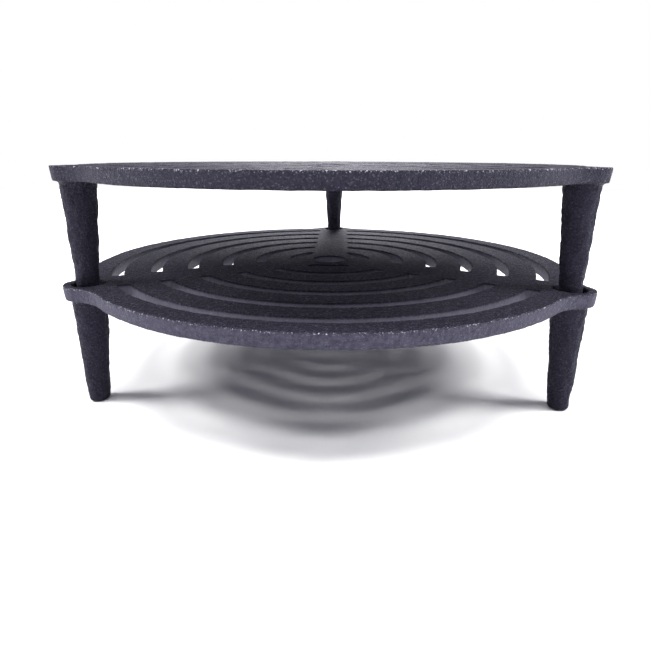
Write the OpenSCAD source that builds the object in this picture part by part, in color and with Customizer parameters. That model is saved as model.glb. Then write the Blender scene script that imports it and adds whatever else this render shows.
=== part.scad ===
// Two-tier stacking grate: two equal iron castings, each a round slotted plate on three tapered legs.
// The feet of the upper casting stand in shallow sockets in the ears of the lower one, and it lifts off.

/* [Plate] */
// Diameter of the round plate
plate_d = 230; // [200:1:260]
// Thickness of the plate
plate_t = 6; // [5:0.5:8]

/* [Slots] */
// Number of slot rings
ring_count = 6; // [4:1:6]
// Radius of the innermost slot ring, at the middle of its slots
ring_first_r = 18; // [16:0.5:19]
// Distance from one slot ring to the next
ring_pitch = 16.8; // [12:0.1:16.8]
// Width of each slot
slot_w = 5; // [3:0.5:6]
// Width of the three spokes that interrupt the slots
spoke_w = 19; // [14:1:20]
// Diameter of the hole in the middle
hole_d = 16; // [10:1:18]

/* [Legs] */
// Length of each leg, from its foot to the underside of the plate
leg_h = 46; // [30:1:60]
// Diameter of a leg at the plate
leg_top_d = 14; // [12:0.5:15]
// Diameter of a leg at its foot
leg_foot_d = 8.6; // [6:0.1:10]
// Radius of the fillet between a leg and the plate
leg_fillet_r = 1; // [1:0.5:2.5]
// Radius of the rounded edge of a foot
foot_edge_r = 1.2; // [0.5:0.1:2]

/* [Ears and sockets] */
// How far the axis of each leg is inside the plate's edge
leg_inset = 1; // [0:0.5:4]
// Radius of the round end of an ear
ear_r = 10; // [9.5:0.5:12]
// Radius of the hollow curve that leads from an ear into the plate's edge
ear_blend_r = 25; // [10:1:40]
// Diameter of the socket that holds a foot of the next tier
socket_d = 13; // [12:0.5:14]
// Depth of the socket
socket_depth = 4; // [2:0.5:4]
// Diameter of the head on top of each leg, which fills the ear below the socket
leg_head_d = 12.4; // [11:0.1:12.4]

/* [Stack] */
// How far the upper tier is lifted off
lift = 0; // [0:1:60]

/* [Hidden] */
$fn = 96;
cut = 1;                                       // how far a cutter passes through a face
plate_r = plate_d / 2;
leg_axis_r = plate_r - leg_inset;              // the circle that the three legs stand on
back_angle = 90;
left_angle = 210;
right_angle = 330;
leg_angles = [back_angle, left_angle, right_angle];
tier_h = leg_h + plate_t;
tier_step = tier_h - socket_depth;             // height from one tier to the next
socket_r = socket_d / 2;
leg_top_r = leg_top_d / 2;
leg_foot_r = leg_foot_d / 2;
leg_head_r = leg_head_d / 2;
socket_floor = tier_h - socket_depth;
lower_colour = [0.09, 0.09, 0.11];
upper_colour = [0.10, 0.10, 0.12];

// Cosine rule: the angle at the plate's centre between an ear and the centre of its blend circle
blend_centre_r = plate_r + ear_blend_r;
blend_angle = acos((leg_axis_r ^ 2 + blend_centre_r ^ 2 - (ear_r + ear_blend_r) ^ 2)
                   / (2 * leg_axis_r * blend_centre_r));

// One ear: a round end on the leg's axis and two hollow curves tangent to it and to the plate's edge
module ear_outline() {
    blend_x = blend_centre_r * cos(blend_angle);
    blend_y = blend_centre_r * sin(blend_angle);
    translate([leg_axis_r, 0]) circle(ear_r);
    difference() {
        polygon([[0, 0], [blend_x, -blend_y], [leg_axis_r, 0], [blend_x, blend_y]]);
        for (side = [-1, 1])
            translate([blend_x, side * blend_y]) circle(ear_blend_r, $fn = 192);
    }
}

module plate_outline() {
    circle(plate_r, $fn = 240);
    for (a = leg_angles)
        rotate(a) ear_outline();
}

module spokes() {
    for (a = leg_angles)
        rotate(a) translate([0, -spoke_w / 2]) square([plate_d, spoke_w]);
}

// The slots of one ring: a ring cut into three arcs by the spokes, with ends square to the spokes
module slot_ring(r) {
    difference() {
        circle(r + slot_w / 2, $fn = 240);
        circle(r - slot_w / 2, $fn = 240);
        spokes();
    }
}

module slot_cutters() {
    translate([0, 0, leg_h - cut])
        linear_extrude(plate_t + 2 * cut) {
            for (i = [0 : ring_count - 1])
                slot_ring(ring_first_r + i * ring_pitch);
            circle(hole_d / 2);
        }
}

// The plate of one casting, with a socket in each ear that is open below for the head of the leg
module plate() {
    difference() {
        translate([0, 0, leg_h]) linear_extrude(plate_t) plate_outline();
        slot_cutters();
        for (a = leg_angles)
            rotate(a) translate([leg_axis_r, 0, 0]) {
                translate([0, 0, socket_floor]) cylinder(r = socket_r, h = socket_depth + cut);
                translate([0, 0, leg_h - cut]) cylinder(r = leg_head_r, h = plate_t);
            }
    }
}

// A leg as one turned shape: foot with a rounded edge, taper, a fillet that runs into the plate, and a
// head that fills the ear up to the floor of the socket. It stands on z = 0.
module leg(a) {
    taper = atan((leg_top_r - leg_foot_r) / leg_h);
    fillet_x = leg_top_r + leg_fillet_r;
    rotate(a) translate([leg_axis_r, 0, 0]) rotate_extrude() {
        difference() {
            polygon([
                [0, 0],
                [leg_foot_r - foot_edge_r, 0],
                [leg_foot_r - foot_edge_r, foot_edge_r],
                [leg_foot_r + foot_edge_r * tan(taper), foot_edge_r],
                [leg_top_r, leg_h - leg_fillet_r],
                [fillet_x, leg_h - leg_fillet_r],
                [fillet_x, leg_h],
                [leg_head_r, leg_h],
                [leg_head_r, socket_floor],
                [0, socket_floor]
            ]);
            translate([fillet_x, leg_h - leg_fillet_r]) circle(leg_fillet_r);
        }
        translate([leg_foot_r - foot_edge_r, foot_edge_r]) circle(foot_edge_r);
    }
}

// Lower casting
module lower_plate() {
    color(lower_colour) plate();
}

module lower_back_leg() {
    color(lower_colour) leg(back_angle);
}

module lower_left_leg() {
    color(lower_colour) leg(left_angle);
}

module lower_right_leg() {
    color(lower_colour) leg(right_angle);
}

// Upper casting, raised so that its feet stand on the floors of the lower sockets
module raised() {
    translate([0, 0, tier_step + lift]) children();
}

module upper_plate() {
    color(upper_colour) raised() plate();
}

module upper_back_leg() {
    color(upper_colour) raised() leg(back_angle);
}

module upper_left_leg() {
    color(upper_colour) raised() leg(left_angle);
}

module upper_right_leg() {
    color(upper_colour) raised() leg(right_angle);
}

lower_plate();
lower_back_leg();
lower_left_leg();
lower_right_leg();
upper_plate();
upper_back_leg();
upper_left_leg();
upper_right_leg();
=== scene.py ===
"""Two-tier stacking grate: two sand-cast iron grates, one standing in the sockets of the other."""

import math

import bmesh
import bpy
import numpy as np
from mathutils import Matrix, Vector, noise


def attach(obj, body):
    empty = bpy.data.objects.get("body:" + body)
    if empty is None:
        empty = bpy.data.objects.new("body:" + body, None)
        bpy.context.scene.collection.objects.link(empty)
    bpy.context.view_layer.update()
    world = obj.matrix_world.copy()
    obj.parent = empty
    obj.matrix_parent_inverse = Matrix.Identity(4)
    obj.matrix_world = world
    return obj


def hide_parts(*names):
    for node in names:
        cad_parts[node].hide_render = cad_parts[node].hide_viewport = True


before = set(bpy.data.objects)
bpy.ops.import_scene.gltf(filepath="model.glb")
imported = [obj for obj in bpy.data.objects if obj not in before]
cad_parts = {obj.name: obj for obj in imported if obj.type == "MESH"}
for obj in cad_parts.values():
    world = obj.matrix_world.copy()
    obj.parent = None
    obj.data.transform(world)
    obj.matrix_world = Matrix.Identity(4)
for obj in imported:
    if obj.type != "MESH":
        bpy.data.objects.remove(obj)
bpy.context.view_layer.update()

MM = 0.001

# The casting, in millimetres: the same values as the CAD part.
PLATE_R, PLATE_T = 115.0, 6.0
LEG_H, LEG_TOP_R, LEG_FOOT_R, LEG_FILLET_R, FOOT_EDGE_R = 46.0, 7.0, 4.3, 1.0, 1.2
LEG_CIRCLE_R = 114.0
EAR_R, EAR_BLEND_R = 10.0, 25.0
SOCKET_R, SOCKET_DEPTH = 6.5, 4.0
RINGS, RING_FIRST_R, RING_PITCH, SLOT_W, SPOKE_W, HOLE_R = 6, 18.0, 16.8, 5.0, 19.0, 8.0
LEG_ANGLES = [math.radians(a) for a in (90, 210, 330)]
TIER_H = LEG_H + PLATE_T
TIER_STEP = TIER_H - SOCKET_DEPTH

# How the mesh is made, in millimetres
ARC_STEPS = 16  # parts of the smallest slot's arc, with one more for each millimetre of radius
VOXEL = 0.65
SMOOTH_STEPS = 3
RIM_DRAFT = 0.8  # how far the rim's lower edge is inside its upper edge
FOOT_CLEARANCE = 0.12  # room under the upper feet, so that rough skins don't cut each other
MERGE = 0.001  # points closer than this become one
OVERLAP = 1.0  # how far the solids of one casting run into each other before they are grown together

# The lumps of the cast skin, in millimetres: how wide they are, then how deep
BROAD_WIDE, FINE_WIDE, POCK_WIDE = 7.0, 2.2, 1.5
WRINKLE_WIDE = (2.4, 2.4, 7.0)  # along x, y and z
SCRATCH_WIDE = (1.3, 4.0, 14.0)  # round the rim, across it and up it
PLATE_BROAD, PLATE_FINE = 0.10, 0.06
LEG_BROAD, LEG_WRINKLE, LEG_POCK = 0.18, 0.44, 0.24
RIM_SCRATCH = 0.05
SKIN_INSET = 0.05  # how far the middle of the lumps lies inside the plain surface
CALMING = 0.85  # how much of the lumps is taken off where the tiers touch
SEED_STEPS = (37.1, 11.3, 5.7)  # how far apart two castings' lumps are taken from the noise

# Where each mask fades, in millimetres: _OUT is outwards from the plate's outline, and _Z upwards
LEG_FADE_Z = (-3.0, -0.5)  # from the plate's underside
FOOT_FADE_Z = (0.6, 4.5)  # from the floor
LIFT_FADE_Z = (0.5, 6.0)  # from the foot
SOCKET_FADE_Z = (1.0, 1.5)  # from the plate's underside
RIM_FADE_OUT = (-1.6, -0.6)
EDGE_FADE_OUT, EDGE_FADE_Z = (-1.1, -0.4), (-0.9, -0.4)  # from the plate's top
# Where the slot walls are painted lighter, as light falling on them: painted light, kept off the top edge
WALL_FADE_OUT, WALL_FADE_Z = (-2.6, -1.6), (-1.2, -0.4)  # from the plate's top
WALL_FADE_TILT = (0.45, 0.85)  # 0 is a level face and 1 an upright one
SOCKET_WALL, SOCKET_RIM = 0.6, 1.0  # how far the socket's own skin reaches past its radius

# Materials: linear colours, and sizes of grain as noise scales per metre
IRON_DARK, IRON_PALE = (0.0030, 0.0028, 0.0062, 1), (0.0075, 0.0070, 0.0130, 1)
IRON_GRAIN = (0.028, 0.026, 0.042, 1)
GROUND_DARK, GROUND_PALE = (0.044, 0.042, 0.066, 1), (0.086, 0.082, 0.118, 1)
# Painted light: the colour that slot walls are pulled towards, as if lit
LIT_SLOT_WALL = (0.22, 0.215, 0.27, 1)
# Painted highlights: bright specks that stand in for sparkle off the grains
SPARKLE_SPECK = (0.26, 0.26, 0.33, 1)
GLINT = (0.42, 0.41, 0.48, 1)
IRON_SHEEN = (0.80, 0.78, 1.0, 1)
PAPER_DARK, PAPER_PALE = (0.90, 0.90, 0.905, 1), (0.93, 0.93, 0.935, 1)
WHITE = (1, 1, 1, 1)
CLOUD_SCALE, COARSE_SCALE, GRAIN_SCALE, CELL_SCALE = 45.0, 620.0, 1500.0, 2500.0
LOWER_GROUND_AND_FLOOR_SHEEN, UPPER_GROUND, LEG_GROUND = 0.75, 0.20, 0.14  # share of ground colour on rims and legs; the two tiers are the same casting, and the lower rim's larger share is painted reflection of the bright floor
# How far the slot walls are painted towards the lit colour
LIT_WALL_SHARE = 0.5
SPECK_SHARE, LEG_SPECK_LOSS = 0.17, 0.11  # legs show fewer specks
SPECK_CELLS = (0.86, 0.99)  # the cells that are specks, of all cells from 0 to 1
GRAIN_BUMP, FACET_BUMP = 0.0009, 0.0005  # in metres

# The stage, in metres and watts
FLOOR_R = 1.6
HORIZON_FADE = (0.30, 0.90)  # from here out the floor turns as white as the backdrop
SURROUND = 0.30  # brightness of the white surround as a light
SURROUND_TINT = (0.87, 0.85, 1.0, 1)
LIGHTS = [  # name, place, target, width and power
    ("left_lamp", (-0.42, -0.30, 1.20), (0, 0, 0.03), 0.36, 5.5),
    ("left_box", (-0.85, -0.15, 0.80), (0, 0, 0.05), 0.40, 13.0),
    ("right_lamp", (0.42, -0.30, 1.20), (0, 0, 0.03), 0.36, 5.5),
    ("right_box", (0.85, -0.15, 0.80), (0, 0, 0.05), 0.40, 13.0),
    ("top_box", (0, -0.20, 1.30), (0, 0, 0.03), 0.7, 7.5),
    ("back_box", (0, 1.10, 0.70), (0, 0, 0.05), 0.6, 9.0),
]

# The camera, in metres and degrees: it looks along +Y, turned left, down and a little round
CAMERA_PLACE = (0.00708, -0.26083, 0.10378)
CAMERA_PAN, CAMERA_TILT, CAMERA_ROLL = 2.0658, -12.8759, 0.1667
CAMERA_LENS, CAMERA_SHIFT_Y = 28.45, -0.0794


def make_camera():
    """The camera that the reference view was taken from, in the part's frame."""
    pan = Matrix.Rotation(math.radians(CAMERA_PAN), 4, "Z")
    tilt = Matrix.Rotation(math.radians(90 + CAMERA_TILT), 4, "X")
    roll = Matrix.Rotation(math.radians(CAMERA_ROLL), 4, "Z")
    data = bpy.data.cameras.new("camera")
    data.sensor_width = 36.0
    data.lens = CAMERA_LENS
    data.shift_y = CAMERA_SHIFT_Y
    data.clip_start = 0.01
    camera = bpy.data.objects.new("camera", data)
    camera.matrix_world = Matrix.Translation(CAMERA_PLACE) @ pan @ tilt @ roll
    bpy.context.scene.collection.objects.link(camera)
    bpy.context.scene.camera = camera


# ---- Outlines, in millimetres -------------------------------------------------------------------


def circle(cx, cy, r, steps):
    return [
        (cx + r * math.cos(2 * math.pi * i / steps), cy + r * math.sin(2 * math.pi * i / steps))
        for i in range(steps)
    ]


def outline_radius(off):
    """The plate's radius at an angle off the nearest ear's axis: ear, then hollow blend, then rim."""
    reach = PLATE_R + EAR_BLEND_R
    blend = math.acos(
        (LEG_CIRCLE_R**2 + reach**2 - (EAR_R + EAR_BLEND_R) ** 2) / (2 * LEG_CIRCLE_R * reach)
    )
    share = EAR_R / (EAR_R + EAR_BLEND_R)
    tangent_x = LEG_CIRCLE_R + share * (reach * math.cos(blend) - LEG_CIRCLE_R)
    tangent = math.atan2(share * reach * math.sin(blend), tangent_x)
    if off >= blend:
        return PLATE_R
    if off <= tangent:
        side = LEG_CIRCLE_R * math.sin(off)
        return LEG_CIRCLE_R * math.cos(off) + math.sqrt(EAR_R**2 - side**2)
    side = reach * math.sin(blend - off)
    return reach * math.cos(blend - off) - math.sqrt(EAR_BLEND_R**2 - side**2)


def off_nearest_ear(angle):
    return min(abs((angle - a + math.pi) % (2 * math.pi) - math.pi) for a in LEG_ANGLES)


def plate_outline(steps=1440):
    points = []
    for i in range(steps):
        angle = 2 * math.pi * i / steps
        r = outline_radius(off_nearest_ear(angle))
        points.append((r * math.cos(angle), r * math.sin(angle)))
    return points


def slot_outlines():
    """Each ring of slots is three arcs, with ends square to the spokes."""
    half = SPOKE_W / 2
    loops = []
    for ring in range(RINGS):
        r = RING_FIRST_R + ring * RING_PITCH
        steps = ARC_STEPS + int(r)
        for start in LEG_ANGLES:
            stop = start + 2 * math.pi / 3
            loop = []
            for radius, way in ((r + SLOT_W / 2, 1), (r - SLOT_W / 2, -1)):
                inset = math.asin(half / radius)
                a, b = start + inset, stop - inset
                arc = [a + (b - a) * i / steps for i in range(steps + 1)][::way]
                loop += [(radius * math.cos(t), radius * math.sin(t)) for t in arc]
            loops.append(loop)
    return loops


def add_prism(bm, loops, low, high):
    """A slab with holes: the first loop is its edge and the others are holes."""
    curve = bpy.data.curves.new("outline", "CURVE")
    curve.dimensions, curve.fill_mode, curve.extrude = "2D", "BOTH", (high - low) / 2
    for loop in loops:
        spline = curve.splines.new("POLY")
        spline.points.add(len(loop) - 1)
        spline.points.foreach_set("co", [v for x, y in loop for v in (x, y, 0.0, 1.0)])
        spline.use_cyclic_u = True
    shape = bpy.data.objects.new("outline", curve)
    bpy.context.scene.collection.objects.link(shape)
    mesh = bpy.data.meshes.new_from_object(shape.evaluated_get(bpy.context.evaluated_depsgraph_get()))
    bpy.data.objects.remove(shape)
    mesh.transform(Matrix.Translation((0, 0, (low + high) / 2)))
    bm.from_mesh(mesh)
    bpy.data.meshes.remove(mesh)


def leg_profile():
    """Radius and height up a leg: rounded foot, taper, and the fillet that runs into the plate."""
    foot_x = LEG_FOOT_R - FOOT_EDGE_R
    fillet_x, fillet_z = LEG_TOP_R + LEG_FILLET_R, LEG_H - LEG_FILLET_R
    points = [(foot_x, 0.0)]
    for i in range(1, 7):
        t = math.pi / 2 * i / 6
        points.append((foot_x + FOOT_EDGE_R * math.sin(t), FOOT_EDGE_R * (1 - math.cos(t))))
    points.append((LEG_TOP_R, fillet_z))
    for i in range(1, 9):
        t = math.pi / 2 * i / 8
        points.append((fillet_x - LEG_FILLET_R * math.cos(t), fillet_z + LEG_FILLET_R * math.sin(t)))
    return points + [(fillet_x, LEG_H + OVERLAP)]


def add_leg(bm, angle, sides=64):
    cx, cy = LEG_CIRCLE_R * math.cos(angle), LEG_CIRCLE_R * math.sin(angle)
    rows = [[bm.verts.new((x, y, z)) for x, y in circle(cx, cy, r, sides)] for r, z in leg_profile()]
    for low, high in zip(rows, rows[1:]):
        for i in range(sides):
            j = (i + 1) % sides
            bm.faces.new((low[i], low[j], high[j], high[i]))
    bm.faces.new(rows[0][::-1])
    bm.faces.new(rows[-1])


def sockets():
    return [
        circle(LEG_CIRCLE_R * math.cos(a), LEG_CIRCLE_R * math.sin(a), SOCKET_R, 64) for a in LEG_ANGLES
    ]


# ---- The cast skin ------------------------------------------------------------------------------


def fade(x, band):
    """Rises smoothly from 0 to 1 as x goes from the start of a band to its end."""
    low, high = band
    t = np.clip((x - low) / (high - low), 0, 1)
    return t * t * (3 - 2 * t)


def noise_at(points, offset):
    """Smooth noise from -1 to 1 at each point."""
    shift = Vector(offset)
    return np.array([noise.noise(Vector(p) + shift) for p in points])


def make_masks(co, normal):
    """Where each kind of surface is, from 0 to 1 at each point of a smooth casting."""
    x, y, z = co.T
    past_edge = np.hypot(x, y) - [outline_radius(off_nearest_ear(a)) for a in np.arctan2(y, x)]
    to_leg = np.min(
        [np.hypot(x - LEG_CIRCLE_R * math.cos(a), y - LEG_CIRCLE_R * math.sin(a)) for a in LEG_ANGLES],
        axis=0,
    )
    sideways = 1 - np.abs(normal[:, 2])
    leg = 1 - fade(z - LEG_H, LEG_FADE_Z)
    rim = fade(past_edge, RIM_FADE_OUT) * (1 - leg)
    socket = (to_leg < SOCKET_R + SOCKET_WALL) * fade(z - LEG_H, SOCKET_FADE_Z)
    edge = fade(past_edge, EDGE_FADE_OUT) * fade(z - TIER_H, EDGE_FADE_Z)
    inside = (to_leg > SOCKET_R + SOCKET_RIM) * (1 - leg) * (1 - fade(past_edge, WALL_FADE_OUT))
    # Slot walls below the top edge, which the material paints lighter as lit walls: painted light
    lit_wall = inside * fade(sideways, WALL_FADE_TILT) * (1 - fade(z - TIER_H, WALL_FADE_Z))
    rest = np.maximum(socket, 1 - fade(z, FOOT_FADE_Z))
    return {"leg": leg, "rim_all": rim, "rim": rim * sideways, "edge": edge, "lit_wall": lit_wall, "rest": rest}


def rough_skin(co, normal, masks, seed):
    """Moves the points of a smooth casting into a tapered, sand-cast skin."""
    x, y, z = co.T
    radius = np.hypot(x, y)
    shift = [seed * step for step in SEED_STEPS]
    broad = noise_at(co / BROAD_WIDE, shift)
    fine = noise_at(co / FINE_WIDE, shift)
    pocks = noise_at(co / POCK_WIDE, shift)
    wrinkle = noise_at(co / WRINKLE_WIDE, shift)
    round_rim = np.stack([np.arctan2(y, x) * PLATE_R, radius, z], -1)
    scratch = noise_at(round_rim / SCRATCH_WIDE, shift)

    plate_lumps = PLATE_BROAD * broad + PLATE_FINE * fine
    leg_lumps = LEG_BROAD * broad + LEG_WRINKLE * wrinkle + LEG_POCK * pocks
    lumps = np.where(masks["leg"] > 0.5, leg_lumps, plate_lumps) + RIM_SCRATCH * scratch * masks["rim"]
    out = co + normal * (lumps * (1 - CALMING * masks["rest"]) - SKIN_INSET)[:, None]

    draft = RIM_DRAFT * masks["rim_all"] * np.clip((TIER_H - z) / PLATE_T, 0, 1)
    out[:, :2] *= (1 - draft / np.maximum(radius, 1))[:, None]
    return out


def join_solids(name):
    """The casting's plain solids, overlapping, in one mesh: plate with sockets, and legs."""
    bm = bmesh.new()
    edge, holes = plate_outline(), slot_outlines() + [circle(0, 0, HOLE_R, 96)]
    floor_z = TIER_H - SOCKET_DEPTH
    add_prism(bm, [edge] + holes, LEG_H, floor_z)
    add_prism(bm, [edge] + holes + sockets(), floor_z - OVERLAP, TIER_H)
    for angle in LEG_ANGLES:
        add_leg(bm, angle)
    bmesh.ops.remove_doubles(bm, verts=bm.verts, dist=MERGE)
    bmesh.ops.recalc_face_normals(bm, faces=bm.faces)
    mesh = bpy.data.meshes.new(name)
    bm.to_mesh(mesh)
    bm.free()
    return mesh


def grow_together(piece):
    """Makes the overlapping solids of a piece one closed skin with soft edges."""
    remesh = piece.modifiers.new("remesh", "REMESH")
    remesh.mode, remesh.voxel_size = "VOXEL", VOXEL
    smooth = piece.modifiers.new("smooth", "SMOOTH")
    smooth.factor, smooth.iterations = 0.5, SMOOTH_STEPS
    mesh = bpy.data.meshes.new_from_object(piece.evaluated_get(bpy.context.evaluated_depsgraph_get()))
    piece.modifiers.clear()
    solids = piece.data
    piece.data = mesh
    bpy.data.meshes.remove(solids)
    return mesh


def read_points(mesh, field):
    values = np.empty(len(mesh.vertices) * 3, np.float32)
    mesh.vertices.foreach_get(field, values)
    return values.reshape(-1, 3)


def make_casting(name, seed, material, height, tier):
    """One casting as one closed skin: plate, ears, sockets and legs grown together."""
    piece = bpy.data.objects.new(name, join_solids(name))
    bpy.context.scene.collection.objects.link(piece)
    mesh = grow_together(piece)

    co, normal = read_points(mesh, "co").astype(float), read_points(mesh, "normal")
    masks = make_masks(co, normal)
    co = rough_skin(co, normal, masks, seed)
    clearance = FOOT_CLEARANCE if height else 0
    co[:, 2] += height + clearance * (1 - fade(co[:, 2], LIFT_FADE_Z))
    mesh.vertices.foreach_set("co", (co * MM).astype(np.float32).ravel())
    for label in ("rim", "leg", "edge", "lit_wall"):
        layer = mesh.attributes.new(label, "FLOAT", "POINT")
        layer.data.foreach_set("value", masks[label].astype(np.float32))
    mesh.polygons.foreach_set("use_smooth", [True] * len(mesh.polygons))
    mesh.materials.clear()
    mesh.materials.append(material)
    mesh.update()
    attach(piece, tier + "_tier")
    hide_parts(*(f"{tier}_{part}" for part in ("plate", "back_leg", "left_leg", "right_leg")))


# ---- Materials ----------------------------------------------------------------------------------


class Nodes:
    """Short ways to add and join shader nodes."""

    def __init__(self, name):
        self.material = bpy.data.materials.new(name)
        self.material.use_nodes = True
        self.tree = self.material.node_tree
        self.shader = self.tree.nodes["Principled BSDF"]

    def add(self, kind, inputs=None, **settings):
        node = self.tree.nodes.new("ShaderNode" + kind)
        for key, value in settings.items():
            setattr(node, key, value)
        for key, value in (inputs or {}).items():
            if isinstance(value, bpy.types.NodeSocket):
                self.tree.links.new(value, node.inputs[key])
            else:
                node.inputs[key].default_value = value
        return node

    def noise(self, vector, scale, detail=2.0, roughness=0.5):
        values = {"Vector": vector, "Scale": scale, "Detail": detail, "Roughness": roughness}
        return self.add("TexNoise", values).outputs["Fac"]

    def ramp(self, value, low, high, out_low=0.0, out_high=1.0):
        values = {"Value": value, 1: low, 2: high, 3: out_low, 4: out_high}
        return self.add("MapRange", values).outputs["Result"]

    def math(self, operation, a, b):
        return self.add("Math", {0: a, 1: b}, operation=operation).outputs[0]

    def mix(self, factor, a, b):
        node = self.add("Mix", data_type="RGBA")
        for socket, value in ((node.inputs[0], factor), (node.inputs[6], a), (node.inputs[7], b)):
            if isinstance(value, bpy.types.NodeSocket):
                self.tree.links.new(value, socket)
            else:
                socket.default_value = value
        return node.outputs[2]

    def drive(self, socket, value):
        self.tree.links.new(value, self.shader.inputs[socket])


def cast_iron(name, ground_and_sheen_share):
    """Sand-cast iron: charcoal with a violet cast, fine grain and a ground rim, with painted light: bright
    specks as painted sparkle, slot walls painted lighter as if lit, a painted glint on the top edge, and a
    lower rim painted lighter as reflected floor light.
    """
    n = Nodes(name)
    at = n.add("TexCoord").outputs["Object"]
    rim, leg, edge, lit_wall = (
        n.add("Attribute", attribute_name=label).outputs["Fac"] for label in ("rim", "leg", "edge", "lit_wall")
    )
    cloud = n.noise(at, CLOUD_SCALE, 4.0, 0.6)
    grain = n.noise(at, GRAIN_SCALE, 3.0, 0.6)
    coarse = n.noise(at, COARSE_SCALE, 2.0, 0.55)
    cells = n.add("TexVoronoi", {"Vector": at, "Scale": CELL_SCALE})
    sparkle_speck = n.ramp(n.add("SeparateColor", {"Color": cells.outputs["Color"]}).outputs[0], *SPECK_CELLS)

    dark = n.mix(cloud, IRON_DARK, IRON_PALE)
    grained = n.mix(n.ramp(grain, 0.45, 0.72), dark, IRON_GRAIN)
    ground = n.mix(n.ramp(coarse, 0.35, 0.65), GROUND_DARK, GROUND_PALE)
    paler = n.math("MAXIMUM", n.math("MULTIPLY", rim, ground_and_sheen_share), n.math("MULTIPLY", leg, LEG_GROUND))
    colour = n.mix(paler, grained, ground)
    # Painted light: slot walls lighter, as if lit
    colour = n.mix(n.math("MULTIPLY", lit_wall, LIT_WALL_SHARE), colour, LIT_SLOT_WALL)
    speck_share = n.math("SUBTRACT", SPECK_SHARE, n.math("MULTIPLY", leg, LEG_SPECK_LOSS))
    # Painted highlights: specks of lighter colour stand in for sparkle; their lower roughness below is
    # real
    colour = n.mix(n.math("MULTIPLY", sparkle_speck, speck_share), colour, SPARKLE_SPECK)
    # Painted highlight: a glint along the plate's top edge, as lighter colour in the grain there
    glint = n.math("MULTIPLY", edge, n.ramp(grain, 0.58, 0.66))
    n.drive("Base Color", n.mix(glint, colour, GLINT))

    n.shader.inputs["Metallic"].default_value = 0.12
    n.shader.inputs["Specular IOR Level"].default_value = 0.20
    n.shader.inputs["Specular Tint"].default_value = IRON_SHEEN
    rough = n.ramp(coarse, 0.3, 0.7, 0.50, 0.68)
    rough = n.math("ADD", rough, n.math("MULTIPLY", leg, 0.10))
    n.drive("Roughness", n.math("SUBTRACT", rough, n.math("MULTIPLY", sparkle_speck, 0.22)))

    height = n.math("ADD", n.math("MULTIPLY", grain, 0.5), n.math("MULTIPLY", coarse, 0.8))
    grains = n.add("Bump", {"Strength": 1.0, "Distance": GRAIN_BUMP, "Height": height})
    facet = {"Height": cells.outputs["Distance"], "Normal": grains.outputs[0]}
    facets = n.add("Bump", {"Strength": 0.45, "Distance": FACET_BUMP, **facet})
    n.drive("Normal", facets.outputs[0])
    return n.material


def floor_paper():
    """Smooth white background paper, which glows towards its edge so that no horizon shows."""
    n = Nodes("floor_paper")
    at = n.add("TexCoord").outputs["Object"]
    n.drive("Base Color", n.mix(n.noise(at, 2.0, 2.0), PAPER_DARK, PAPER_PALE))
    n.shader.inputs["Roughness"].default_value = 0.85
    far = n.add("VectorMath", {0: at}, operation="LENGTH").outputs["Value"]
    n.shader.inputs["Emission Color"].default_value = WHITE
    n.drive("Emission Strength", n.ramp(far, *HORIZON_FADE))
    return n.material


# ---- Stage --------------------------------------------------------------------------------------


def make_floor():
    mesh = bpy.data.meshes.new("floor")
    edge = [(x, y, 0.0) for x, y in circle(0, 0, FLOOR_R, 128)]
    mesh.from_pydata(edge, [], [tuple(range(len(edge)))])
    mesh.materials.append(floor_paper())
    floor = bpy.data.objects.new("floor", mesh)
    bpy.context.scene.collection.objects.link(floor)


def make_surround():
    """The world: white behind the object, and dimmer and cooler as a light."""
    world = bpy.data.worlds.new("studio")
    world.use_nodes = True
    tree = world.node_tree
    surround = tree.nodes["Background"]
    surround.inputs["Color"].default_value = SURROUND_TINT
    surround.inputs["Strength"].default_value = SURROUND
    backdrop = tree.nodes.new("ShaderNodeBackground")
    backdrop.inputs["Color"].default_value = WHITE
    path = tree.nodes.new("ShaderNodeLightPath")
    mix = tree.nodes.new("ShaderNodeMixShader")
    tree.links.new(path.outputs["Is Camera Ray"], mix.inputs[0])
    tree.links.new(surround.outputs[0], mix.inputs[1])
    tree.links.new(backdrop.outputs[0], mix.inputs[2])
    tree.links.new(mix.outputs[0], tree.nodes["World Output"].inputs[0])
    bpy.context.scene.world = world


def make_lights():
    """A box and two lamps overhead, a box at each side, and one behind."""
    for name, place, target, width, power in LIGHTS:
        data = bpy.data.lights.new(name, "AREA")
        data.shape, data.size, data.energy = "DISK", width, power
        light = bpy.data.objects.new(name, data)
        turn = (Vector(target) - Vector(place)).to_track_quat("-Z", "Y").to_matrix()
        light.matrix_world = Matrix.Translation(place) @ turn.to_4x4()
        bpy.context.scene.collection.objects.link(light)


bpy.context.scene.view_settings.view_transform = "Standard"
make_camera()
make_floor()
make_surround()
make_lights()
# The two tiers get a lit and a darker copy of one material: the lower rim is painted lighter as reflected
# floor light
make_casting("lower_casting", 1, cast_iron("cast_iron_lower_floor_sheen", LOWER_GROUND_AND_FLOOR_SHEEN), 0.0, "lower")
make_casting("upper_casting", 2, cast_iron("cast_iron_upper", UPPER_GROUND), TIER_STEP, "upper")
